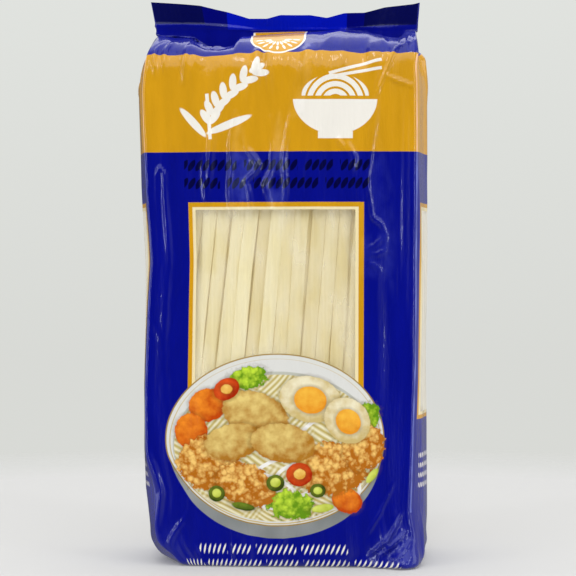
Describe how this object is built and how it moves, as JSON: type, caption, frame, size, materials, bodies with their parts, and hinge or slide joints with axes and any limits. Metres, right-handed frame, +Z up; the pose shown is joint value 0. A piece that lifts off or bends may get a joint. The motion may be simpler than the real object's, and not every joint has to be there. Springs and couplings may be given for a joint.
{
  "type": "pack of dried flat rice noodles",
  "caption": "Standing side-gusset film pack, full of flat dried rice noodles that show through clear windows, crimped shut along its top seal.",
  "frame": {"origin": "middle of the flat base that the pack stands on", "axes": "+Z up along the pack, +X to the right across the printed front, -Y out of the front"},
  "size_m": [0.1194, 0.0588, 0.2314],
  "materials": {
    "printed_film": "glossy heat-sealed film, printed deep blue with an orange-yellow band, wrinkled in long soft folds",
    "clear_film": "the unprinted clear windows of the same glossy film",
    "dried_noodle": "cream translucent dried rice noodle, slightly rough"
  },
  "bodies": {
    "root": {"noodle_pack": "printed_film"}
  },
  "joints": []
}
